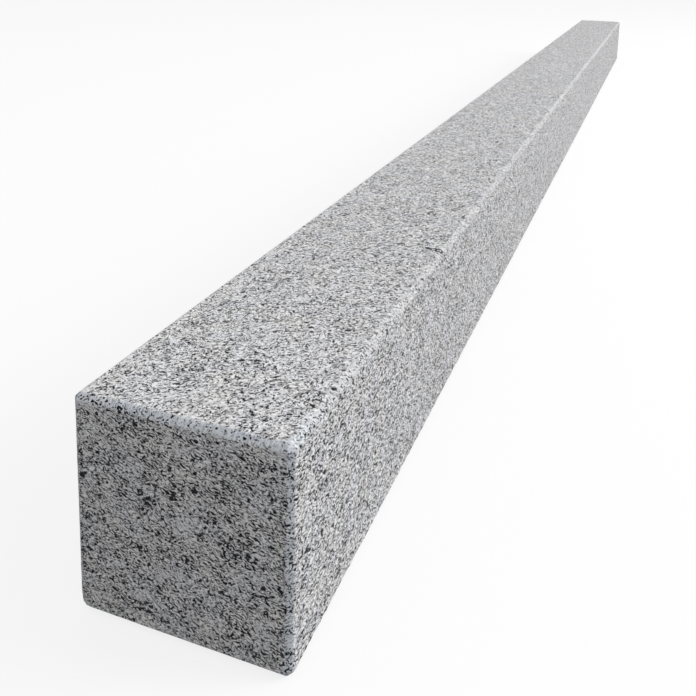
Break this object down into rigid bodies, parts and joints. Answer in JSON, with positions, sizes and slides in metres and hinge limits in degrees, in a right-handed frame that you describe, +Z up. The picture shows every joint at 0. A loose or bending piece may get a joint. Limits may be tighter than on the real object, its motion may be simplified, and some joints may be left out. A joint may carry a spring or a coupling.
{
  "type": "granite palisade",
  "caption": "Long square granite bar with stippled faces and chamfered edges, set upright in a footing as an edging post or laid flat as a border or step.",
  "frame": {"origin": "centre of the long face that the bar lies on", "axes": "+Y along the length, +Z up out of the face it lies on, +X to the right as seen from the end at -Y"},
  "size_m": [0.12, 2.5, 0.12],
  "materials": {
    "granite": "matte"
  },
  "bodies": {
    "root": {"palisade": "granite"}
  },
  "joints": []
}
